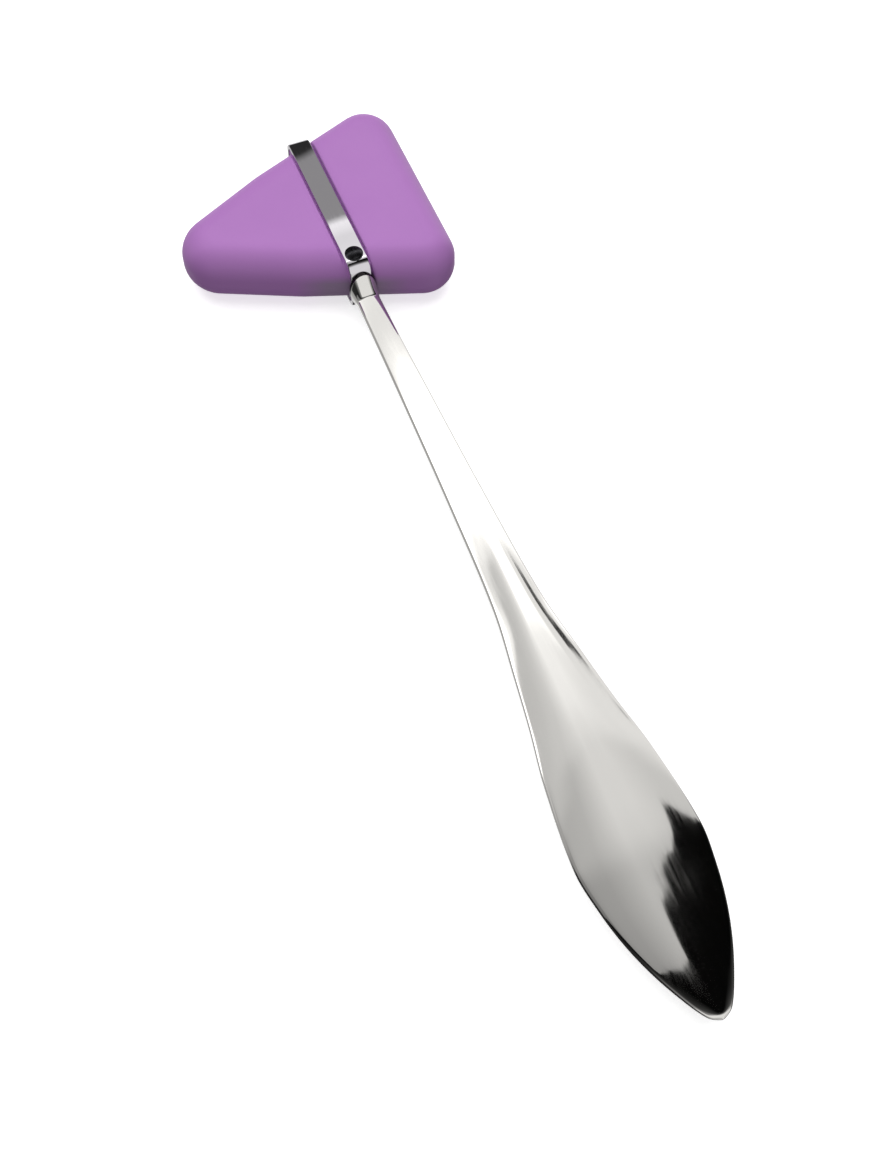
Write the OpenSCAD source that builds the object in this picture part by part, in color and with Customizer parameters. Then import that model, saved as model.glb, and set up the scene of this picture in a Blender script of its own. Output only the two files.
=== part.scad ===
// Reflex hammer of the triangular-head pattern, lying on the back face of its head.
// +Z is up, +Y runs along the handle from the leaf's tip to the head, +X points to the head's broad side.
// The origin is the centre of the footprint, on the surface that the head rests on.

/* [Head] */
// Length of the whole hammer, from the leaf's tip to the head's broad corner
overall_length = 200; // [185:1:215]
// Reach of the head from the handle's axis to its narrow nose
nose_reach = 31.2; // [28:0.2:36]
// Reach of the head from the handle's axis to its broad face
broad_reach = 20.6; // [18:0.2:26]
// Height of the head across its two broad corners
broad_height = 46.4; // [43:0.2:52]
// Thickness of the head between its two flat faces
head_thick = 12.8; // [12:0.1:15]
// Radius of the narrow nose, seen from the front
nose_radius = 7.9; // [7:0.1:9]
// Radius of the broad corners, seen from the front
corner_radius = 6.7; // [6.2:0.1:8]
// Radius of the rounded edge all round both faces
edge_radius = 5.6; // [4:0.1:6]

/* [Strap] */
// Width of the metal strap round the head
strap_width = 4.4; // [4:0.1:5]
// Thickness of the metal strap
strap_thick = 1.0; // [0.8:0.1:1.2]
// Height of the strap along the handle, outside to outside
strap_height = 38; // [37:0.1:39]
// How far the strap lies below the faces of the head
strap_recess = 0.2; // [0.1:0.05:0.4]
// Outside radius of the strap's four bends
bend_radius = 2.6; // [2:0.1:3.5]
// Gap between each edge of the strap and its groove
groove_gap = 0.45; // [0.35:0.05:0.6]

/* [Handle] */
// Width of the handle's neck under the head
neck_width = 4.7; // [4.4:0.1:4.8]
// Thickness of the handle's neck
neck_thick = 3.2; // [3:0.1:3.6]
// Width of the leaf at its widest
leaf_width = 23; // [20:0.5:26]
// Thickness of the leaf on its centre line
leaf_thick = 4.2; // [3.6:0.1:5]
// Thickness of the leaf at its rim
rim_thick = 1.6; // [1.2:0.1:2]
// Depth of the saddle, across the thickness of the handle
saddle_depth = 9.2; // [8.6:0.1:9.6]
// Length of the saddle's flare under the strap
saddle_length = 3.4; // [3.2:0.1:4]
// Width of the flat tang inside the head
tang_width = 3.8; // [3.4:0.1:4.2]
// Thickness of the flat tang inside the head
tang_thick = 2.8; // [2.4:0.1:3]
// Length of the tang above the underside of the head
tang_reach = 9.5; // [8.5:0.5:11]

/* [Rivet] */
// Diameter of the rivet's shank
shank_dia = 2.0; // [1.8:0.1:2.2]
// Diameter of the rivet's domed head
rivet_head_dia = 3.7; // [3.4:0.1:4]
// Height of the rivet's domed head
rivet_head_height = 0.75; // [0.6:0.05:0.9]
// Diameter of the rivet's flush tail
tail_dia = 3.2; // [2.8:0.1:3.4]
// Height of the rivet above the underside of the strap
rivet_height = 3.8; // [3.6:0.1:4.4]

/* [Hidden] */

fit_gap = 0.05; // clearance where two pieces meet
axis_x = (nose_reach - broad_reach) / 2; // handle's axis, from the footprint's centre
head_y = (overall_length - broad_height) / 2; // middle of the head, from the footprint's centre
mid_z = head_thick / 2;
tip_reach = overall_length - broad_height / 2; // from the middle of the head to the leaf's tip
strap_top = strap_height / 2;
strap_z = mid_z - strap_recess; // outside of the strap, from the middle plane
rivet_y = rivet_height - strap_top;
saddle_width = strap_width + 0.6; // a little wider than the strap, and clear of the groove's walls
tail_depth = 0.6; // depth of the countersink under the rivet's tail
cut = 60; // reach of a cutting block, larger than the head

// The waist circles make each flank bend slightly where the strap crosses it.
waist_radius = 9.0;
waist_back = 7.9; // from the handle's axis towards the nose
waist_rise = 6.0;

// Everything is drawn about the handle's axis at the middle of the head, then moved to the footprint's centre.
module place() {
    translate([axis_x, head_y, mid_z]) children();
}

// A round puck with the head's rounded edge, one at each corner of the head.
module puck(radius) {
    rotate_extrude($fn = 40)
        intersection() {
            hull()
                for (sx = [-1, 1], sy = [-1, 1])
                    translate([sx * (radius - edge_radius), sy * (mid_z - edge_radius)])
                        circle(r = edge_radius, $fn = 40);
            translate([0, -cut]) square([cut, 2 * cut]);
        }
}

module head_form() {
    hull() {
        translate([nose_radius - nose_reach, 0, 0]) puck(nose_radius);
        for (side = [-1, 1]) {
            translate([-waist_back, side * waist_rise, 0]) puck(waist_radius);
            translate([broad_reach - corner_radius, side * (broad_height / 2 - corner_radius), 0])
                puck(corner_radius);
        }
    }
}

// Side outline of the strap's loop, shrunk by an inset: the handle's axis runs along X, the thickness along Y.
module loop_outline(inset) {
    end = strap_top - inset;
    depth = strap_z - inset;
    bend = bend_radius - inset;
    square([2 * (end - bend), 2 * depth], center = true);
    square([2 * end, 2 * (depth - bend)], center = true);
    for (along = [-1, 1], across = [-1, 1])
        translate([along * (end - bend), across * (depth - bend)]) circle(r = bend, $fn = 64);
}

// A slab with the loop's outline, centred on the handle's axis.
module loop_slab(inset, width) {
    rotate([90, 0, 90])
        translate([0, 0, -width / 2])
            linear_extrude(width) loop_outline(inset);
}

module rivet_hole(radius) {
    translate([0, rivet_y, -cut / 2]) cylinder(r = radius, h = cut, $fn = 48);
}

module tang(gap) {
    half_width = tang_width / 2 + gap;
    top = tang_reach - strap_top + gap;
    translate([-half_width, -strap_top - 1, -tang_thick / 2 - gap])
        cube([2 * half_width, top - half_width + strap_top + 1, tang_thick + 2 * gap]);
    translate([0, top - half_width, -tang_thick / 2 - gap])
        cylinder(r = half_width, h = tang_thick + 2 * gap, $fn = 48);
}

// The head, with a moulded seat that fills the strap's loop: a groove across the faces, a low land at the bends.
module rubber_head() {
    groove_width = strap_width + 2 * groove_gap;
    color("mediumorchid") place() difference() {
        union() {
            head_form();
            loop_slab(strap_thick + fit_gap, groove_width);
        }
        difference() {
            cube([groove_width, cut, cut], center = true);
            loop_slab(strap_thick + fit_gap, groove_width + 2);
        }
        tang(fit_gap);
        rivet_hole(shank_dia / 2 + fit_gap);
    }
}

// One strip bent into a loop: its two ends hook under the head and stop at the tang.
module strap() {
    color("silver") place() difference() {
        loop_slab(0, strap_width);
        loop_slab(strap_thick, strap_width + 2);
        translate([0, -strap_top, 0])
            cube([strap_width + 2, 4 * strap_thick, tang_thick + 2 * fit_gap], center = true);
        rivet_hole(shank_dia / 2 + fit_gap);
        translate([0, rivet_y, -strap_z - fit_gap])
            cylinder(r1 = tail_dia / 2 + fit_gap, r2 = shank_dia / 2, h = tail_depth + fit_gap, $fn = 48);
    }
}

// The loft's stations: distance from the tip, half width, half thickness at the centre line, half thickness at the rim.
leaf_half = leaf_width / 2;
neck_half = neck_width / 2;
leaf_crown = leaf_thick / 2;
neck_crown = neck_thick / 2;
rim_half = rim_thick / 2;
shaft_length = tip_reach - strap_top; // from the leaf's tip to the underside of the strap
neck_start = shaft_length - saddle_length + 0.6; // the loft ends a little inside the saddle
stations = [
    [0, 0.5, 0.5, 0.4],
    [1.3, 0.17 * leaf_half, 0.8, 0.5],
    [5, 0.375 * leaf_half, 1.1, 0.6],
    [10.5, 0.61 * leaf_half, 1.45, rim_half],
    [16.5, 0.80 * leaf_half, 1.7, rim_half],
    [23, 0.925 * leaf_half, 1.9, rim_half],
    [30.5, leaf_half, leaf_crown, rim_half],
    [46, 0.87 * leaf_half, leaf_crown + 0.1, rim_half],
    [56.5, 0.705 * leaf_half, leaf_crown + 0.1, rim_half],
    [66, 0.58 * leaf_half, leaf_crown + 0.05, rim_half + 0.1],
    [80, 0.41 * leaf_half, leaf_crown, rim_half + 0.3],
    [104, neck_half + 1.25, leaf_crown - 0.15, neck_crown - 0.4],
    [131, neck_half + 0.5, neck_crown + 0.15, neck_crown - 0.3],
    [neck_start, neck_half, neck_crown, neck_crown - 0.3]
];

// Value of one column of the stations at a distance from the tip, on a smooth curve through them.
function span(v, i = 0) = (i >= len(stations) - 2 || v <= stations[i + 1][0]) ? i : span(v, i + 1);
function rate(i, j, column) = (stations[j][column] - stations[i][column]) / (stations[j][0] - stations[i][0]);
function slope(i, column) = rate(max(i - 1, 0), min(i + 1, len(stations) - 1), column);
function at(v, column) =
    let (i = span(v), step = stations[i + 1][0] - stations[i][0], t = (v - stations[i][0]) / step)
    (2 * t ^ 3 - 3 * t ^ 2 + 1) * stations[i][column]
    + (t ^ 3 - 2 * t ^ 2 + t) * step * slope(i, column)
    + (3 * t ^ 2 - 2 * t ^ 3) * stations[i + 1][column]
    + (t ^ 3 - t ^ 2) * step * slope(i + 1, column);

// One closed section of the handle: two crowned faces joined by two round rims.
crown_steps = 7; // points across one face
rim_steps = 5; // points round one rim
function face_point(a, b, e, u, side) = [u * (a - e), side * (e + (b - e) * (1 - u * u))];
function rim_point(a, e, side, angle) = [side * (a - e) + side * e * cos(angle), side * e * sin(angle)];
function section(a, b, e) = concat(
    [for (i = [0:crown_steps - 1]) face_point(a, b, e, 1 - 2 * i / crown_steps, 1)],
    [for (i = [0:rim_steps - 1]) rim_point(a, e, -1, -90 + 180 * i / rim_steps)],
    [for (i = [0:crown_steps - 1]) face_point(a, b, e, 2 * i / crown_steps - 1, -1)],
    [for (i = [0:rim_steps - 1]) rim_point(a, e, 1, -90 + 180 * i / rim_steps)]
);

ring_count = 44;
ring_size = 2 * (crown_steps + rim_steps);
loft_length = stations[len(stations) - 1][0];
// Rings crowd towards both ends, where the width and the depth change fastest.
function ring_place(i) = loft_length * (1 - cos(180 * i / (ring_count - 1))) / 2;

module handle_loft() {
    rings = [for (i = [0:ring_count - 1])
        let (v = ring_place(i))
        [for (p = section(at(v, 1), at(v, 2), at(v, 3))) [p[0], v - tip_reach, p[1]]]];
    points = [for (ring = rings, p = ring) p];
    sides = [for (i = [0:ring_count - 2], j = [0:ring_size - 1])
        let (k = (j + 1) % ring_size, low = i * ring_size, high = (i + 1) * ring_size)
        for (face = [[low + j, low + k, high + j], [low + k, high + k, high + j]]) face];
    first_cap = [for (j = [ring_size - 1:-1:0]) j];
    last_cap = [for (j = [0:ring_size - 1]) (ring_count - 1) * ring_size + j];
    polyhedron(points, concat(sides, [first_cap, last_cap]));
}

// The flare under the strap: a block whose two faces curve out from the neck to the saddle's full depth.
module saddle() {
    flare_radius = 2.9;
    start = -strap_top - saddle_length;
    start_depth = neck_crown + 0.25;
    rotate([90, 0, 90])
        translate([0, 0, -saddle_width / 2])
            linear_extrude(saddle_width)
                difference() {
                    translate([start, -saddle_depth / 2]) square([saddle_length + 2.5, saddle_depth]);
                    for (side = [-1, 1])
                        translate([start, side * (start_depth + flare_radius)])
                            circle(r = flare_radius, $fn = 64);
                }
}

// One forging: pointed leaf, stem, neck, a saddle that hugs the strap, and a flat tang inside the head.
module handle() {
    color("gainsboro") place() union() {
        handle_loft();
        difference() {
            union() {
                difference() {
                    saddle();
                    loop_slab(-fit_gap, saddle_width + 2);
                }
                tang(0);
            }
            rivet_hole(shank_dia / 2 + fit_gap);
        }
    }
}

// A domed rivet, set from the front through strap, rubber and tang, its tail set flush in the strap behind.
module rivet() {
    dome_radius = (pow(rivet_head_dia / 2, 2) + pow(rivet_head_height, 2)) / (2 * rivet_head_height);
    seat_z = strap_z + fit_gap;
    color("dimgray") place() translate([0, rivet_y, 0]) {
        translate([0, 0, -strap_z]) cylinder(d1 = tail_dia, d2 = shank_dia, h = tail_depth, $fn = 48);
        translate([0, 0, -strap_z + tail_depth / 2])
            cylinder(d = shank_dia, h = strap_z + seat_z - tail_depth / 2, $fn = 48);
        intersection() {
            translate([0, 0, seat_z + rivet_head_height - dome_radius]) sphere(r = dome_radius, $fn = 64);
            translate([0, 0, seat_z]) cylinder(r = dome_radius, h = dome_radius, $fn = 48);
        }
    }
}

handle();
rubber_head();
strap();
rivet();
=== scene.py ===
import math

import bmesh
import bpy
from mathutils import Matrix, Vector


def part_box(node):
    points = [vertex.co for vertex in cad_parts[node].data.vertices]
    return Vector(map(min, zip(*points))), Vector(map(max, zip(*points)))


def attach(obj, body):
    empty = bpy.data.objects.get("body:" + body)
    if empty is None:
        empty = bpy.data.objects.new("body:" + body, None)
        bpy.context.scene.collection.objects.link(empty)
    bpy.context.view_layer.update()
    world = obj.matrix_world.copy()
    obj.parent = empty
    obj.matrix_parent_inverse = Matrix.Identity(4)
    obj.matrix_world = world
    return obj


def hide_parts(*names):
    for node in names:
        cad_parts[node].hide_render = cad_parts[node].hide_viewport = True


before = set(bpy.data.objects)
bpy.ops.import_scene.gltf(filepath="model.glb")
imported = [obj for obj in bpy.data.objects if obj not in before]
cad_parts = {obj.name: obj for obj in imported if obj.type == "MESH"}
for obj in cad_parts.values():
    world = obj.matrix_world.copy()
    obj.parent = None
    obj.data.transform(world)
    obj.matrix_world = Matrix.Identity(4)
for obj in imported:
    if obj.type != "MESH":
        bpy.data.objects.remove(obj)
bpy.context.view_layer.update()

# Everything is measured in millimetres from the strap's centre, on the handle's axis,
# and placed in metres at the end.
mm = 0.001
mergeDistance = 0.002  # mm
headLow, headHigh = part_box("rubber_head")
handleLow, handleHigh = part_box("handle")
strapLow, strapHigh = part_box("strap")
rivetLow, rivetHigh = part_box("rivet")
middle = (strapLow + strapHigh) / 2
placing = Matrix.Translation(middle) @ Matrix.Scale(mm, 4)


def fromMiddle(corner):
    return (corner - middle) / mm


cameraSetup = {
    "azimuth": -22.36,  # degrees round the object
    "elevation": 60.37,
    "distance": 288.2,  # mm
    "aim": (-4.1, -10.3, 6.4),  # mm in the frame
    "lens": 50,
}


def lookingBack(azimuth, elevation):
    a, e = math.radians(azimuth), math.radians(elevation)
    return Vector((math.sin(a) * math.cos(e), -math.cos(a) * math.cos(e), math.sin(e)))


def makeCamera(setup):
    camera = bpy.data.objects.new("camera", bpy.data.cameras.new("camera"))
    bpy.context.scene.collection.objects.link(camera)
    back = lookingBack(setup["azimuth"], setup["elevation"])
    camera.data.lens = setup["lens"]
    camera.data.clip_start = 0.01
    camera.location = (Vector(setup["aim"]) + back * setup["distance"]) * mm
    camera.rotation_euler = (-back).to_track_quat("-Z", "Y").to_euler()
    bpy.context.scene.camera = camera


def linear(hexColour):
    values = [int(hexColour[i:i + 2], 16) / 255 for i in (1, 3, 5)]
    return [v / 12.92 if v <= 0.04045 else ((v + 0.055) / 1.055) ** 2.4 for v in values] + [1]


# Adds one node: inputs are values or sockets, stops are the places and colours of a ramp.
def addNode(tree, kind, inputs=None, stops=None, **settings):
    node = tree.nodes.new(kind)
    for name, value in settings.items():
        setattr(node, name, value)
    for name, value in (inputs or {}).items():
        if isinstance(value, bpy.types.NodeSocket):
            tree.links.new(value, node.inputs[name])
        else:
            node.inputs[name].default_value = value
    for i, (place, level) in enumerate(stops or []):
        points = node.color_ramp.elements
        point = points[i] if i < 2 else points.new(place)
        point.position = place
        point.color = (level, level, level, 1)
    return node


def newMaterial(name):
    material = bpy.data.materials.new(name)
    material.use_nodes = True
    material.node_tree.nodes.clear()
    return material, material.node_tree


studio = {
    "floorSize": 30,  # m
    "floorColour": "#e6e6e6",
    "floorGlow": 0.62,  # a lit table top, which keeps the contact shadows faint
    "sunStrength": 2.4,
    "sunAngle": 80,  # degrees across, so shadows are soft
    "sunFrom": (0.1, 0.45, 1),
    "ambient": 0.36,
    "tentRadius": 6,  # m, so far away that only direction matters
}


def makeWorld(setup):
    world = bpy.data.worlds.new("studioWhite")
    bpy.context.scene.world = world
    world.use_nodes = True
    tree = world.node_tree
    tree.nodes.clear()
    path = addNode(tree, "ShaderNodeLightPath")
    seen = addNode(tree, "ShaderNodeMapRange", {"Value": path.outputs["Is Camera Ray"],
                                                "To Min": setup["ambient"]})
    light = addNode(tree, "ShaderNodeBackground", {"Strength": seen.outputs[0], "Color": (1, 1, 1, 1)})
    addNode(tree, "ShaderNodeOutputWorld", {"Surface": light.outputs[0]})
    bpy.context.scene.view_settings.view_transform = "Standard"


def makeFloor(setup):
    bm = bmesh.new()
    bmesh.ops.create_grid(bm, x_segments=1, y_segments=1, size=setup["floorSize"] / 2)
    mesh = bpy.data.meshes.new("floor")
    bm.to_mesh(mesh)
    bm.free()
    floor = bpy.data.objects.new("floor", mesh)
    bpy.context.scene.collection.objects.link(floor)
    material, tree = newMaterial("mattPaperFloor")
    paper = addNode(tree, "ShaderNodeBsdfDiffuse", {"Color": linear(setup["floorColour"])})
    glow = addNode(tree, "ShaderNodeEmission", {"Strength": setup["floorGlow"]})
    lit = addNode(tree, "ShaderNodeAddShader", {0: paper.outputs[0], 1: glow.outputs[0]})
    addNode(tree, "ShaderNodeOutputMaterial", {"Surface": lit.outputs[0]})
    mesh.materials.append(material)
    floor.visible_glossy = floor.visible_diffuse = False


def makeSun(setup):
    sun = bpy.data.objects.new("softSun", bpy.data.lights.new("softSun", "SUN"))
    bpy.context.scene.collection.objects.link(sun)
    sun.data.energy = setup["sunStrength"]
    sun.data.angle = math.radians(setup["sunAngle"])
    sun.rotation_euler = Vector(setup["sunFrom"]).to_track_quat("Z", "Y").to_euler()
    sun.visible_glossy = False


# A tent that only gloss sees, lit by direction: white beyond the head, greyer overhead, and dark above the
# camera. Its places and levels were fitted to the chrome's reflections as the main view shows them.
# Places are the direction's Y (along) or X (across), from -1 to 1, and each has its level.
tentAlong = [(-0.4, 0.87), (0.0, 0.5), (0.19, 0.6), (0.27, 0.8), (0.33, 0.8), (0.36, 1.0), (0.41, 1.1),
             (0.45, 2.2), (0.572, 2.2), (0.585, 1.2), (0.6, 0.97), (0.616, 0.9), (0.63, 1.15), (0.637, 1.2),
             (0.639, 0.33), (0.711, 0.33), (0.7135, 0.03)]
tentUnder = [(-0.6, 0.85), (-0.4, 0.05), (0.26, 0.06), (0.36, 1.0)]  # along, below the horizon
tentAcross = [(-1, 0.4), (-0.62, 0.4), (-0.3, 0.62), (-0.1, 0.68), (0, 0.8), (0.15, 1), (0.35, 1),
              (0.6, 0.85)]
tentShade = [(-0.5, 0.6), (-0.3, 0.63), (-0.15, 0.7), (0, 0.85), (0.1, 1.1), (0.2, 2.2), (0.5, 2.2),
             (0.62, 0.9), (1, 0.9)]  # brightest level, across
# The dark opening reaches up to these places along, given across, and is lit again towards its far side.
tentMouth = [(-0.5, 0), (-0.26, -0.04), (-0.08, 0.024), (0, 0.04), (0.11, 0.067), (0.165, 0.09),
             (0.185, 0.15), (0.2, 0.162), (0.29, 0.176), (0.34, 0.186), (0.374, 0.19), (0.438, 0.196),
             (0.476, 0.221), (0.505, 0.25), (0.532, 0.278), (0.56, 0.28), (0.65, 0.268), (1, 0.26)]
tentDepth = [(-0.5, 1), (-0.4, 0.6), (-0.25, 0.12), (-0.04, 0.004)]
tentSizes = {
    "segments": (96, 48),
    "clearFrom": 0.47,  # past these places along, front and back, the white is not shaded
    "clearTo": 0.51,
    "clearLift": 2,
    "tearScale": 16,  # the opening's edge is slightly ragged
    "tearReach": 0.014,
    "tearLow": 0.006,
    "tearHigh": 0.011,
    "horizon": 0.03,  # half the height over which the lower cloth gives way to the upper
}
# A narrow black flag hung in the tent: centre and half size of the directions that it covers,
# where its soft edge starts and ends as a share of that size, and what light is left.
tentFlag = {"centre": (0.745, 0.449, 0.45), "half": (0.035, 0.016, 0.6), "edge": (0.9, 1.1), "left": 0.04}


# A table's level at a place, from a ramp that holds levels between 0 and 1.
def lookUp(tree, table, place):
    low = min(level for _, level in table)
    span = max(level for _, level in table) - low
    share = addNode(tree, "ShaderNodeMapRange", {"Value": place, "From Min": -1})
    ramp = addNode(tree, "ShaderNodeValToRGB", {0: share.outputs[0]},
                   stops=[((p + 1) / 2, (level - low) / span) for p, level in table])
    level = addNode(tree, "ShaderNodeMath", {0: ramp.outputs[0], 1: span, 2: low}, operation="MULTIPLY_ADD")
    return level.outputs[0]


def makeTent(setup, sizes, dark):
    bm = bmesh.new()
    around, upward = sizes["segments"]
    bmesh.ops.create_uvsphere(bm, u_segments=around, v_segments=upward, radius=setup["tentRadius"])
    mesh = bpy.data.meshes.new("lightTent")
    bm.to_mesh(mesh)
    bm.free()
    tent = bpy.data.objects.new("lightTent", mesh)
    bpy.context.scene.collection.objects.link(tent)
    tent.visible_camera = tent.visible_diffuse = tent.visible_shadow = False
    material, tree = newMaterial("tentCloth")
    mesh.materials.append(material)
    place = addNode(tree, "ShaderNodeTexCoord")
    unit = addNode(tree, "ShaderNodeVectorMath", {0: place.outputs["Object"]}, operation="NORMALIZE")
    axes = addNode(tree, "ShaderNodeSeparateXYZ", {0: unit.outputs[0]})
    across, along = axes.outputs["X"], axes.outputs["Y"]
    # On both sides the white cloth is shaded, except far out to the front and back.
    clear = addNode(tree, "ShaderNodeMath", {0: along}, operation="ABSOLUTE")
    clear = addNode(tree, "ShaderNodeMapRange", {"Value": clear.outputs[0], "From Min": sizes["clearFrom"],
                                                 "From Max": sizes["clearTo"]})
    clear = clear.outputs[0]
    sides = addNode(tree, "ShaderNodeMath", {0: lookUp(tree, tentAcross, across), 1: clear},
                    operation="MAXIMUM")
    bright = addNode(tree, "ShaderNodeMath", {0: lookUp(tree, tentAlong, along), 1: sides.outputs[0]},
                     operation="MULTIPLY")
    shade = addNode(tree, "ShaderNodeMath", {0: clear, 1: sizes["clearLift"],
                                             2: lookUp(tree, tentShade, across)}, operation="MULTIPLY_ADD")
    cloth = addNode(tree, "ShaderNodeMath", {0: bright.outputs[0], 1: shade.outputs[0]}, operation="MINIMUM")
    tear = addNode(tree, "ShaderNodeTexNoise", {"Vector": unit.outputs[0], "Scale": sizes["tearScale"],
                                                "Detail": 0})
    edge = addNode(tree, "ShaderNodeMath", {0: along, 1: lookUp(tree, tentMouth, across)},
                   operation="SUBTRACT")
    edge = addNode(tree, "ShaderNodeMath", {0: tear.outputs[0], 1: sizes["tearReach"], 2: edge.outputs[0]},
                   operation="MULTIPLY_ADD")
    beyond = addNode(tree, "ShaderNodeMapRange", {"Value": edge.outputs[0], "From Min": sizes["tearLow"],
                                                  "From Max": sizes["tearHigh"]})
    mask = addNode(tree, "ShaderNodeMath", {0: beyond.outputs[0], 1: lookUp(tree, tentDepth, along)},
                   operation="MAXIMUM")
    cloth = addNode(tree, "ShaderNodeMath", {0: cloth.outputs[0], 1: mask.outputs[0]}, operation="MULTIPLY")
    below = addNode(tree, "ShaderNodeMath", {0: lookUp(tree, tentUnder, along),
                                             1: lookUp(tree, tentAcross, across)}, operation="MULTIPLY")
    above = addNode(tree, "ShaderNodeMapRange", {"Value": axes.outputs["Z"], "From Min": -sizes["horizon"],
                                                 "From Max": sizes["horizon"]})
    light = addNode(tree, "ShaderNodeMix", {0: above.outputs[0], 2: below.outputs[0], 3: cloth.outputs[0]})
    offset = addNode(tree, "ShaderNodeVectorMath", {0: unit.outputs[0], 1: dark["centre"]},
                     operation="SUBTRACT")
    share = addNode(tree, "ShaderNodeVectorMath", {0: offset.outputs[0], 1: dark["half"]}, operation="DIVIDE")
    size = addNode(tree, "ShaderNodeVectorMath", {0: share.outputs[0]}, operation="ABSOLUTE")
    size = addNode(tree, "ShaderNodeSeparateXYZ", {0: size.outputs[0]})
    most = addNode(tree, "ShaderNodeMath", {0: size.outputs[0], 1: size.outputs[1]}, operation="MAXIMUM")
    most = addNode(tree, "ShaderNodeMath", {0: most.outputs[0], 1: size.outputs[2]}, operation="MAXIMUM")
    flag = addNode(tree, "ShaderNodeMapRange", {"Value": most.outputs[0], "From Min": dark["edge"][0],
                                                "From Max": dark["edge"][1], "To Min": dark["left"]})
    light = addNode(tree, "ShaderNodeMath", {0: light.outputs[0], 1: flag.outputs[0]}, operation="MULTIPLY")
    glow = addNode(tree, "ShaderNodeEmission", {"Strength": light.outputs[0]})
    addNode(tree, "ShaderNodeOutputMaterial", {"Surface": glow.outputs[0]})


makeCamera(cameraSetup)
makeWorld(studio)
makeFloor(studio)
makeSun(studio)
makeTent(studio, tentSizes, tentFlag)
print("studio ready")


# Extrudes a face where it stands and gives the new one, without leaving a wall inside the piece.
def grow(bm, face, isFirst):
    grown = bmesh.ops.extrude_face_region(bm, geom=[face])["geom"]
    if not isFirst:
        bmesh.ops.delete(bm, geom=[face], context="FACES_ONLY")
    return next(item for item in grown if isinstance(item, bmesh.types.BMFace))


# Extrudes a closed ring through a list of rings that all have the same number of points.
def loft(rings):
    bm = bmesh.new()
    number = bm.verts.layers.int.new("number")
    bmesh.ops.create_circle(bm, cap_ends=True, segments=len(rings[0]))
    for i, vert in enumerate(bm.verts):
        vert[number] = i
        vert.co = rings[0][i]
    face = bm.faces[:][0]
    for i, ring in enumerate(rings[1:]):
        face = grow(bm, face, i == 0)
        for vert in face.verts:
            vert.co = ring[vert[number]]
    return bm


# Closes and smooths a piece, puts it in its place, and hides the CAD node that it stands for.
def finishPiece(bm, name, material, node, sharpAngle=40):
    bmesh.ops.remove_doubles(bm, verts=bm.verts[:], dist=mergeDistance)
    bmesh.ops.recalc_face_normals(bm, faces=bm.faces[:])
    bmesh.ops.transform(bm, matrix=placing, verts=bm.verts[:])
    openEdges = sum(len(edge.link_faces) != 2 for edge in bm.edges)
    mesh = bpy.data.meshes.new(name)
    bm.to_mesh(mesh)
    bm.free()
    mesh.shade_smooth()
    mesh.set_sharp_from_angle(angle=math.radians(sharpAngle))
    mesh.materials.append(material)
    piece = bpy.data.objects.new(name, mesh)
    bpy.context.scene.collection.objects.link(piece)
    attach(piece, "root")
    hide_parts(node)
    print(name, len(mesh.polygons), "faces", openEdges, "open edges")


# Places from start to end that lie closer together near both ends.
def ease(start, end, count):
    return [start + (end - start) * (1 - math.cos(math.pi * i / count)) / 2 for i in range(count + 1)]


def perMetre(size):
    return 1000 / size  # a pattern's scale from its size in mm


lipPaintedShadeEdge = 0.1  # mm over which the plate turns dark


# Polished chromium plate: bright, with faint waves from the forging and hairlines from wiping. The wheel
# never reaches the crease under the strap, so the metal is dull there; on the lip itself the colour is
# painted shade, near black, for the shadowed gap where the saddle meets the strap.
def chromePlate(creaseStart, lipStart):
    material, tree = newMaterial("polishedChromePlate")
    place = addNode(tree, "ShaderNodeTexCoord").outputs["Object"]
    wave = addNode(tree, "ShaderNodeTexNoise", {"Vector": place, "Scale": perMetre(9), "Detail": 1})
    stretch = addNode(tree, "ShaderNodeMapping", {"Vector": place, "Scale": (1, 0.06, 1)})
    hair = addNode(tree, "ShaderNodeTexNoise", {"Vector": stretch.outputs[0], "Scale": perMetre(0.5),
                                                "Detail": 3})
    haze = addNode(tree, "ShaderNodeTexNoise", {"Vector": place, "Scale": perMetre(14), "Detail": 4})
    mixed = addNode(tree, "ShaderNodeMath", {0: hair.outputs[0], 1: haze.outputs[0]}, operation="MULTIPLY")
    rough = addNode(tree, "ShaderNodeMapRange", {"Value": mixed.outputs[0], "From Min": 0.1, "From Max": 0.45,
                                                 "To Min": 0.03, "To Max": 0.09})
    reach = addNode(tree, "ShaderNodeSeparateXYZ", {0: place})
    dull = addNode(tree, "ShaderNodeMapRange", {"Value": reach.outputs["Y"], "From Min": creaseStart,
                                                "From Max": lipStart, "To Max": 0.1})
    rough = addNode(tree, "ShaderNodeMath", {0: rough.outputs[0], 1: dull.outputs[0]}, operation="ADD")
    # Painted shade: over the lip the colour turns near black, standing in for the shadowed gap under the
    # strap.
    lip = addNode(tree, "ShaderNodeMapRange", {"Value": reach.outputs["Y"], "From Min": lipStart,
                                               "From Max": lipStart + lipPaintedShadeEdge * mm})
    colour = addNode(tree, "ShaderNodeMix", {0: lip.outputs[0], 6: linear("#e9e7e3"), 7: linear("#2a2728")},
                     data_type="RGBA")
    bump = addNode(tree, "ShaderNodeBump", {"Height": wave.outputs[0], "Strength": 0.25,
                                            "Distance": 0.05 * mm})
    fine = addNode(tree, "ShaderNodeBump", {"Height": hair.outputs[0], "Strength": 0.02,
                                            "Distance": 0.01 * mm, "Normal": bump.outputs[0]})
    metal = addNode(tree, "ShaderNodeBsdfPrincipled", {
        "Base Color": colour.outputs[2], "Metallic": 1,
        "Roughness": rough.outputs[0], "Normal": fine.outputs[0]})
    addNode(tree, "ShaderNodeOutputMaterial", {"Surface": metal.outputs[0]})
    return material


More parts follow.
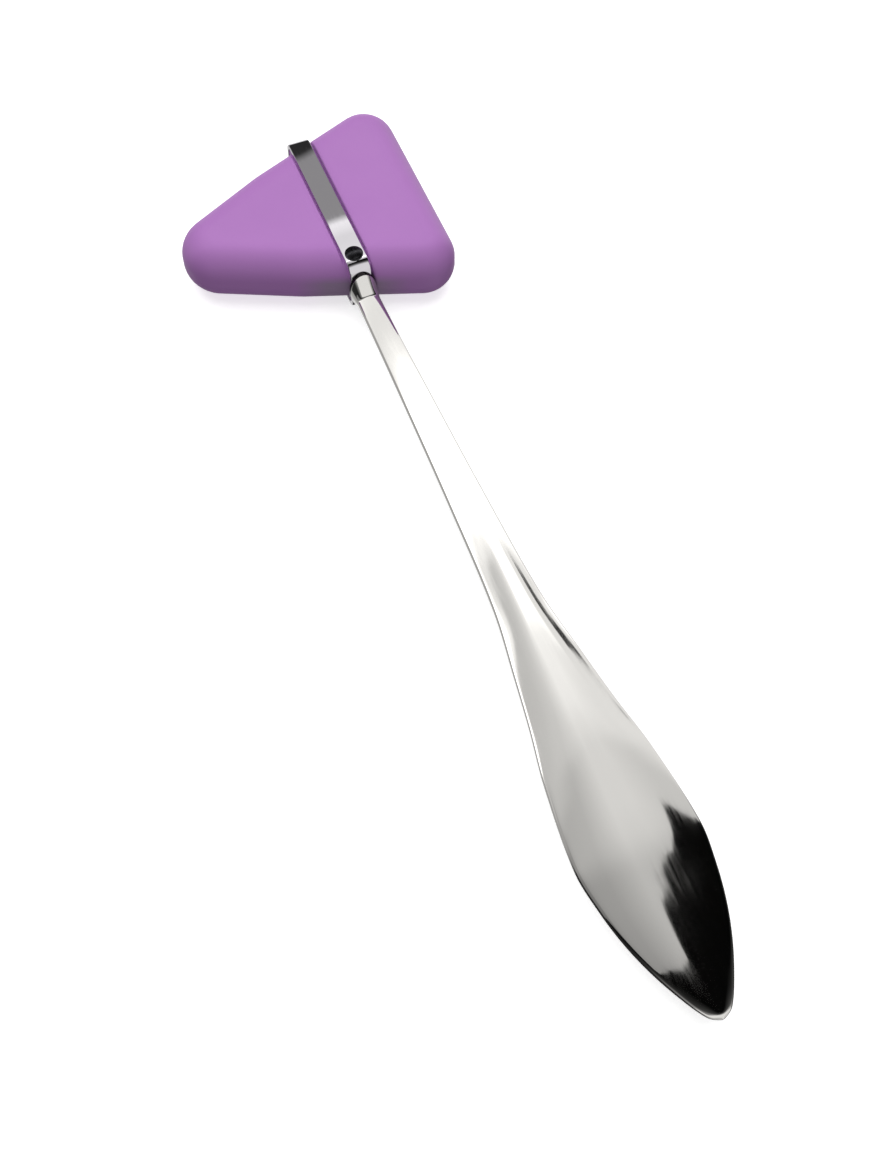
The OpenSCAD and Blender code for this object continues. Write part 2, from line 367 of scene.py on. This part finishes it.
# Chromed steel strip, drawn through rollers: lengthwise lines that soften its reflections.
def drawnStrip():
    material, tree = newMaterial("drawnChromedStrip")
    place = addNode(tree, "ShaderNodeTexCoord").outputs["Object"]
    stretch = addNode(tree, "ShaderNodeMapping", {"Vector": place, "Scale": (1, 0.03, 0.03)})
    line = addNode(tree, "ShaderNodeTexNoise", {"Vector": stretch.outputs[0], "Scale": perMetre(0.35),
                                                "Detail": 3})
    rough = addNode(tree, "ShaderNodeMapRange", {"Value": line.outputs[0], "From Min": 0.3, "From Max": 0.7,
                                                 "To Min": 0.015, "To Max": 0.04})
    bump = addNode(tree, "ShaderNodeBump", {"Height": line.outputs[0], "Strength": 0.05,
                                            "Distance": 0.01 * mm})
    metal = addNode(tree, "ShaderNodeBsdfPrincipled", {
        "Base Color": linear("#dfdce0"), "Metallic": 1,
        "Roughness": rough.outputs[0], "Normal": bump.outputs[0]})
    addNode(tree, "ShaderNodeOutputMaterial", {"Surface": metal.outputs[0]})
    return material


# Painted shade low on the rubber head beside the handle's neck: where it lies and how grey it makes the
# rubber.
paintedShadeSizes = {
    "centre": -1.5,  # mm across, from the handle's axis
    "inner": 5,  # the painted shade is full up to here to each side, and gone at the outer place
    "outer": 11,
    "weight": 0.6,
    "low": (2.8, 0.8),  # fades in between these depths, and between these places along
    "under": (-12, -14),
    "colour": "#857e88",
}


# Thermoplastic rubber from a fine-blasted mould: a satin skin with a very fine grain.
def mouldedRubber():
    material, tree = newMaterial("satinMouldedRubber")
    place = addNode(tree, "ShaderNodeTexCoord").outputs["Object"]
    cloud = addNode(tree, "ShaderNodeTexNoise", {"Vector": place, "Scale": perMetre(11), "Detail": 3})
    colour = addNode(tree, "ShaderNodeMix", {0: cloud.outputs[0], 6: linear("#a870b8"), 7: linear("#ae76bd")},
                     data_type="RGBA")
    # Painted shade: a grey darkening low on the head, to each side of the handle, where the underside lies in
    # shade.
    s = paintedShadeSizes
    spot = addNode(tree, "ShaderNodeVectorMath", {0: place, 1: middle}, operation="SUBTRACT")
    spot = addNode(tree, "ShaderNodeSeparateXYZ", {0: spot.outputs[0]})
    aside = addNode(tree, "ShaderNodeMath", {0: spot.outputs["X"], 1: -s["centre"] * mm}, operation="ADD")
    aside = addNode(tree, "ShaderNodeMath", {0: aside.outputs[0]}, operation="ABSOLUTE")
    paintedShade = addNode(tree, "ShaderNodeMapRange", {"Value": aside.outputs[0], "From Min": s["inner"] * mm,
                                                 "From Max": s["outer"] * mm, "To Min": s["weight"],
                                                 "To Max": 0})
    for axis, (start, end) in (("Z", s["low"]), ("Y", s["under"])):
        near = addNode(tree, "ShaderNodeMapRange", {"Value": spot.outputs[axis], "From Min": start * mm,
                                                    "From Max": end * mm})
        paintedShade = addNode(tree, "ShaderNodeMath", {0: paintedShade.outputs[0], 1: near.outputs[0]},
                        operation="MULTIPLY")
    colour = addNode(tree, "ShaderNodeMix", {0: paintedShade.outputs[0], 6: colour.outputs[2],
                                             7: linear(s["colour"])}, data_type="RGBA")
    grain = addNode(tree, "ShaderNodeTexNoise", {"Vector": place, "Scale": perMetre(0.25), "Detail": 2})
    rough = addNode(tree, "ShaderNodeMapRange", {"Value": grain.outputs[0], "From Min": 0.3, "From Max": 0.7,
                                                 "To Min": 0.42, "To Max": 0.56})
    bump = addNode(tree, "ShaderNodeBump", {"Height": grain.outputs[0], "Strength": 0.2,
                                            "Distance": 0.03 * mm})
    skin = addNode(tree, "ShaderNodeBsdfPrincipled", {
        "Base Color": colour.outputs[2], "Roughness": rough.outputs[0], "Normal": bump.outputs[0],
        "IOR": 1.48, "Sheen Weight": 0.08, "Sheen Roughness": 0.4})
    addNode(tree, "ShaderNodeOutputMaterial", {"Surface": skin.outputs[0]})
    return material


# Steel coloured near black, slightly mottled, that keeps a low shine: the dark colour is painted reflection,
# standing in for the dark seen on the strap at the rivet.
def blackSteel():
    material, tree = newMaterial("rivetPaintedDarkSteel")
    place = addNode(tree, "ShaderNodeTexCoord").outputs["Object"]
    spot = addNode(tree, "ShaderNodeTexNoise", {"Vector": place, "Scale": perMetre(0.4), "Detail": 3})
    rough = addNode(tree, "ShaderNodeMapRange", {"Value": spot.outputs[0], "From Min": 0.3, "From Max": 0.7,
                                                 "To Min": 0.22, "To Max": 0.4})
    bump = addNode(tree, "ShaderNodeBump", {"Height": spot.outputs[0], "Strength": 0.15,
                                            "Distance": 0.02 * mm})
    metal = addNode(tree, "ShaderNodeBsdfPrincipled", {
        "Base Color": linear("#3a3a3d"), "Metallic": 1,
        "Roughness": rough.outputs[0], "Normal": bump.outputs[0]})
    addNode(tree, "ShaderNodeOutputMaterial", {"Surface": metal.outputs[0]})
    return material


strapTop = fromMiddle(strapHigh).y  # half the strap's height
strapDepth = fromMiddle(strapHigh).z  # half its depth, outside to outside
tipReach = -fromMiddle(handleLow).y

handleSizes = {
    "leafHalf": 11.5,
    "neckHalf": 2.35,
    "leafCrown": 2.1,
    "neckCrown": 1.6,
    "rimHalf": 0.8,
    "saddleHalf": 2.75,
    "saddleDepth": 4.6,
    "saddleStart": 23.4,  # from the strap's centre
    "flareLength": 3.0,
    "flareStart": 0.12,  # share of its length that curves into it
    "lipThick": 0.9,  # the saddle's thinnest metal, under the strap
    "strapBend": 2.6,
    "fitGap": 0.05,
    "tipRound": 0.8,
    "tipShare": 0.2,  # of the section that is left at the very tip
    "crownPoints": 28,
    "rimPoints": 10,
    "rings": 150,
    "flareSteps": 24,
    "cupTurn": 25,  # degrees from the section's first point to the cup's
    "creaseLength": 2,  # dull metal below the lip
    "tangHalf": 1.9,
    "tangThick": 1.4,
    "tangTop": 9.5,
    "tangLead": 0.8,  # length of the bevel at the tang's end
    "tangLeadShare": (0.7, 0.8),  # what the bevel leaves of its width and thickness
}


# Distance from the tip, half width, half thickness on the centre line, half thickness at the rim.
def handleStations(s):
    leaf, neck = s["leafHalf"], s["neckHalf"]
    crown, thin, rim = s["leafCrown"], s["neckCrown"], s["rimHalf"]
    return [
        (0, 0.8, 0.85, 0.45), (1.3, 0.2 * leaf, 0.95, 0.55), (5, 0.395 * leaf, 1.15, 0.65),
        (10.5, 0.62 * leaf, 1.45, rim), (16.5, 0.8 * leaf, 1.7, rim), (23, 0.925 * leaf, 1.9, rim),
        (30.5, leaf, crown, rim), (46, 0.87 * leaf, crown + 0.1, rim), (56.5, 0.705 * leaf, crown + 0.1, rim),
        (66, 0.58 * leaf, crown + 0.05, rim + 0.1), (80, 0.41 * leaf, crown, rim + 0.3),
        (104, neck + 1.25, crown - 0.15, thin - 0.4), (131, neck + 0.5, thin + 0.15, thin - 0.3),
        (tipReach - s["saddleStart"] + 0.6, neck, thin, thin - 0.3),
    ]


# The stations' values at any distance from the tip, on a smooth curve through them.
def between(stations, v):
    last = len(stations) - 1
    i = max(k for k in range(last) if k == 0 or v > stations[k][0])
    low, high = stations[i], stations[i + 1]
    before, after = stations[max(i - 1, 0)], stations[min(i + 2, last)]
    step = high[0] - low[0]
    t = (v - low[0]) / step
    values = []
    for c in (1, 2, 3):
        startSlope = (high[c] - before[c]) / (high[0] - before[0]) * step
        endSlope = (after[c] - low[c]) / (after[0] - low[0]) * step
        values.append((2 * t**3 - 3 * t**2 + 1) * low[c] + (t**3 - 2 * t**2 + t) * startSlope
                      + (3 * t**2 - 2 * t**3) * high[c] + (t**3 - t**2) * endSlope)
    return values


# A section with two crowned faces that run smoothly into round rims.
def crownedSection(halfWidth, crown, rim, s):
    tilt = 0.1
    for _ in range(12):
        edgeX = halfWidth - rim + rim * math.sin(tilt)
        edgeZ = rim * math.cos(tilt)
        tilt = math.atan(2 * (crown - edgeZ) / edgeX)
    face = []
    for i in range(s["crownPoints"]):
        u = 1 - 2 * i / s["crownPoints"]
        face.append((u * edgeX, edgeZ + (crown - edgeZ) * (1 - u * u)))
    edge = []
    for i in range(s["rimPoints"]):
        angle = math.pi / 2 + tilt + (math.pi - 2 * tilt) * i / s["rimPoints"]
        edge.append((-(halfWidth - rim) + rim * math.cos(angle), rim * math.sin(angle)))
    half = face + edge
    return half + [(-x, -z) for x, z in half]


def handleForging(s):
    stations = handleStations(s)
    rings = []
    loftEnd = stations[-1][0]
    for v in ease(0, loftEnd, s["rings"]):
        halfWidth, crown, rim = between(stations, v)
        shrink = math.sqrt(1 - (1 - min(v / s["tipRound"], 1)) ** 2) * (1 - s["tipShare"]) + s["tipShare"]
        section = crownedSection(halfWidth * shrink, crown * shrink, rim * shrink, s)
        rings.append([(x, v - tipReach, z) for x, z in section])
    # The neck flares into the saddle, an oval cup whose top follows the strap's outside.
    neckRing = rings[-1]
    bend = s["strapBend"] + s["fitGap"]
    bendZ = strapDepth - s["strapBend"]
    turns = len(neckRing)
    top = []
    for i in range(turns):
        angle = math.radians(s["cupTurn"]) + 2 * math.pi * i / turns
        x, z = s["saddleHalf"] * math.cos(angle), s["saddleDepth"] * math.sin(angle)
        beyond = max(abs(z) - bendZ, 0)
        top.append((x, -(strapTop - s["strapBend"]) - math.sqrt(bend**2 - beyond**2), z))
    flareTop = -strapTop - s["lipThick"]
    start = s["flareStart"]
    straight = [(x, flareTop - s["flareLength"], z) for x, _, z in neckRing]
    rings.append(straight)
    for i in range(1, s["flareSteps"] + 1):
        t = i / s["flareSteps"]
        out = (t * t / (2 * start) if t < start else t - start / 2) / (1 - start / 2)
        y = flareTop - s["flareLength"] * (1 - t)
        rings.append([(x + (wide - x) * out, y, z + (deep - z) * out)
                      for (x, _, z), (wide, _, deep) in zip(straight, top)])
    rings.append(top)
    # The tang goes on through the strap's gap into the rubber.
    tangRing = [(max(-s["tangHalf"], min(s["tangHalf"], x)), -strapTop - s["fitGap"],
                 max(-s["tangThick"], min(s["tangThick"], z))) for x, _, z in top]
    rings.append(tangRing)
    narrow, thin = s["tangLeadShare"]
    rings.append([(x, -s["tangTop"] - s["tangLead"], z) for x, _, z in tangRing])
    rings.append([(x * narrow, -s["tangTop"], z * thin) for x, _, z in tangRing])
    return loft(rings)


lipPlace = middle.y - (strapTop + handleSizes["lipThick"]) * mm
creasePlace = lipPlace - handleSizes["creaseLength"] * mm
finishPiece(handleForging(handleSizes), "handle_forging", chromePlate(creasePlace, lipPlace), "handle",
            30)


noseReach = -fromMiddle(headLow).x
broadReach = fromMiddle(headHigh).x
broadHalf = fromMiddle(headHigh).y
headHalf = fromMiddle(headHigh).z

noseRadius = 7.9
cornerRadius = 6.7
headSizes = {
    "edgeRadius": 5.6,
    # nose, waist and broad corner circles of the outline: place along X, place along Y, radius
    "circles": [(noseRadius - noseReach, 0, noseRadius), (-7.9, 6.0, 9.0),
                (broadReach - cornerRadius, broadHalf - cornerRadius, cornerRadius)],
    "grooveHalf": 2.65,
    "seatInset": 1.05,
    "landHalf": 2.1,  # where the seat stands out of the head, it is narrower than the strap
    "landEdge": 0.1,
    "lip": 0.7,  # softness of the groove's moulded edge
    "noseRings": 30,
    "broadRings": 24,
    "facePoints": 30,
    "edgePoints": 12,
}


# Height of the flank above the axis at x, for the outline shrunk by an inset.
def flank(x, inset, s):
    best = 0
    circles = [(cx, cy, r - inset) for cx, cy, r in s["circles"]]
    for cx, cy, r in circles:
        if abs(x - cx) <= r:
            best = max(best, cy + math.sqrt(r * r - (x - cx) ** 2))
    for (ax, ay, ar), (bx, by, br) in zip(circles, circles[1:]):
        length = math.hypot(bx - ax, by - ay)
        ux, uy = (bx - ax) / length, (by - ay) / length
        lean = (ar - br) / length
        rise = math.sqrt(1 - lean * lean)
        nx, ny = ux * lean - uy * rise, uy * lean + ux * rise
        if ax + ar * nx <= x <= bx + br * nx:
            best = max(best, (nx * ax + ny * ay + ar - nx * x) / ny)
    return best


# A ring from its upper right quarter, which runs from the side up to the flat face.
def ringFromQuarter(quarter, x, s):
    topY, topZ = quarter[-1]
    face = [(topY * (1 - 2 * i / s["facePoints"]), topZ) for i in range(1, s["facePoints"])]
    half = quarter + face + [(-y, z) for y, z in reversed(quarter)]
    half.append((-quarter[0][0], 0))
    return [(x, y, z) for y, z in half + [(-y, -z) for y, z in half]]


# The head's own section at x, with its rounded edges.
def headRing(x, s):
    e = s["edgeRadius"]
    room = min(e, x + noseReach, broadReach - x)
    highest = math.acos(1 - room / e)
    quarter = []
    for i in range(s["edgePoints"] + 1):
        angle = highest * i / s["edgePoints"]
        quarter.append((flank(x, e * (1 - math.cos(angle)), s), headHalf - e + e * math.sin(angle)))
    return ringFromQuarter(quarter, x, s)


# The section that the strap lies on, which runs straight across under it.
def seatRing(x, s):
    y, z = strapTop - s["seatInset"], strapDepth - s["seatInset"]
    r = handleSizes["strapBend"] - s["seatInset"]
    quarter = []
    for i in range(s["edgePoints"] + 1):
        angle = math.pi / 2 * i / s["edgePoints"]
        quarter.append((y - r + r * math.cos(angle), z - r + r * math.sin(angle)))
    return ringFromQuarter(quarter, x, s)


# The part of the seat that lies inside the head's own form, which is the groove without its land.
def sunk(x, s):
    def smaller(a, b):
        return math.copysign(min(abs(a), abs(b)), b)

    return [(x, smaller(a[1], b[1]), smaller(a[2], b[2])) for a, b in zip(headRing(x, s), seatRing(x, s))]


def blended(a, b, share, x):
    return (x, a[1] + (b[1] - a[1]) * share, a[2] + (b[2] - a[2]) * share)


def rubberHead(s):
    e, g, lip = s["edgeRadius"], s["grooveHalf"], s["lip"]
    capTurns = [math.radians(a) for a in (3, 8, 15, 23, 31, 40, 50, 60, 70, 80, 90)]
    before = [-noseReach + e * (1 - math.cos(a)) for a in capTurns]
    before += ease(before[-1], -g - 2 * lip, s["noseRings"])[1:]
    after = ease(g + 2 * lip, broadReach - e, s["broadRings"])
    after += [broadReach - e * math.cos(a) for a in [math.pi / 2 - t for t in capTurns[::-1]]][1:]
    after = sorted(set(round(x, 4) for x in after if x < broadReach))
    # The groove's wall: a soft lip, a short wall, and a small fillet down on the seat.
    wall = [(-lip, 0.0), (-0.6 * lip, 0.02), (-0.3 * lip, 0.07), (-0.1 * lip, 0.18), (0, 0.35), (0, 0.75),
            (0.12 * lip, 0.9), (0.3 * lip, 0.97), (0.6 * lip, 1.0)]
    rings = [headRing(x, s) for x in before]
    for side in (-1, 1):
        grooveSide = []
        for offset, depth in wall:
            x = side * (g - offset)
            grooveSide.append([blended(p, q, depth, x) for p, q in zip(headRing(x, s), sunk(x, s))])
        for offset, depth in ((s["landEdge"], 0), (0, 0.5), (-s["landEdge"], 1)):
            x = side * (s["landHalf"] + offset)
            grooveSide.append([blended(p, q, depth, x) for p, q in zip(sunk(x, s), seatRing(x, s))])
        rings += grooveSide[::-side]
    rings += [headRing(x, s) for x in after]
    return loft(rings)


finishPiece(rubberHead(headSizes), "rubber_moulding", mouldedRubber(), "rubber_head", 50)


strapSizes = {
    "width": fromMiddle(strapHigh).x * 2,
    "thick": 1.0,
    "cornerRadius": 0.22,
    "bend": handleSizes["strapBend"],
    "endGap": 1.45,  # from the middle plane to each end
    "bendSteps": 14,
    "cornerSteps": 3,
}


def strapBand(s):
    bm = bmesh.new()
    bmesh.ops.create_circle(bm, cap_ends=True, segments=4, radius=1)
    corners = [(1, 0), (1, 1), (-1, 1), (-1, 0)]
    bm.verts.ensure_lookup_table()
    for vert, (across, inward) in zip(bm.verts, corners):
        vert.co = (across * s["width"] / 2, -strapTop + inward * s["thick"], s["endGap"])
    bmesh.ops.bevel(bm, geom=bm.verts[:], affect="VERTICES", offset=s["cornerRadius"],
                    segments=s["cornerSteps"], profile=0.5, material=-1)
    face = bm.faces[:][0]
    flatY, flatZ = strapTop - s["bend"], strapDepth - s["bend"]
    # Straight runs and quarter bends in turn, from one end of the loop to the other.
    runs = [(0, 0, flatZ - s["endGap"]), (0, 2 * flatY, 0), (0, 0, -2 * flatZ), (0, -2 * flatY, 0),
            (0, 0, flatZ - s["endGap"])]
    bends = [(-flatY, flatZ), (flatY, flatZ), (flatY, -flatZ), (-flatY, -flatZ)]
    for i, run in enumerate(runs):
        face = grow(bm, face, i == 0)
        bmesh.ops.translate(bm, vec=run, verts=face.verts[:])
        if i < len(bends):
            y, z = bends[i]
            around = face.verts[:] + face.edges[:] + [face]
            turned = bmesh.ops.spin(bm, geom=around, cent=(0, y, z), axis=(-1, 0, 0), angle=math.pi / 2,
                                    steps=s["bendSteps"], use_duplicate=False)["geom_last"]
            face = [f for f in turned if isinstance(f, bmesh.types.BMFace)][0]
    return bm


finishPiece(strapBand(strapSizes), "strap_band", drawnStrip(), "strap", 35)


rivetCentre = fromMiddle((rivetLow + rivetHigh) / 2)
rivetSizes = {
    "headRadius": fromMiddle(rivetHigh).x,
    "headTop": fromMiddle(rivetHigh).z,
    "seat": strapDepth + handleSizes["fitGap"],
    "shankRadius": 1.0,
    "tailRadius": 1.6,
    "tailDepth": 0.6,
    "rimRadius": 0.15,
    "rimEdge": 0.06,  # the head's rounded rim
    "tailEdge": 0.05,
    "domeSteps": 9,
    "steps": 48,
}


def domedRivet(s):
    height = s["headTop"] - s["seat"]
    r = s["headRadius"]
    sphere = (r * r + height * height) / (2 * height)
    profile = [(0, s["headTop"])]
    for i in range(1, s["domeSteps"] + 1):
        x = (r - s["rimRadius"]) * i / s["domeSteps"]
        profile.append((x, s["headTop"] - sphere + math.sqrt(sphere**2 - x * x)))
    rim, tail = s["rimEdge"], s["tailEdge"]
    profile += [(r - rim / 3, s["seat"] + 2 * rim), (r, s["seat"] + rim), (r - rim, s["seat"]),
                (s["shankRadius"], s["seat"]), (s["shankRadius"], -strapDepth + s["tailDepth"]),
                (s["tailRadius"], -strapDepth + tail), (s["tailRadius"] - tail, -strapDepth),
                (0, -strapDepth)]
    bm = bmesh.new()
    verts = [bm.verts.new((x, rivetCentre.y, z)) for x, z in profile]
    edges = [bm.edges.new(pair) for pair in zip(verts, verts[1:])]
    bmesh.ops.spin(bm, geom=verts + edges, cent=(0, rivetCentre.y, 0), axis=(0, 0, 1), angle=2 * math.pi,
                   steps=s["steps"], use_merge=True, use_duplicate=False)
    return bm


finishPiece(domedRivet(rivetSizes), "domed_rivet", blackSteel(), "rivet", 35)

print("all pieces made")
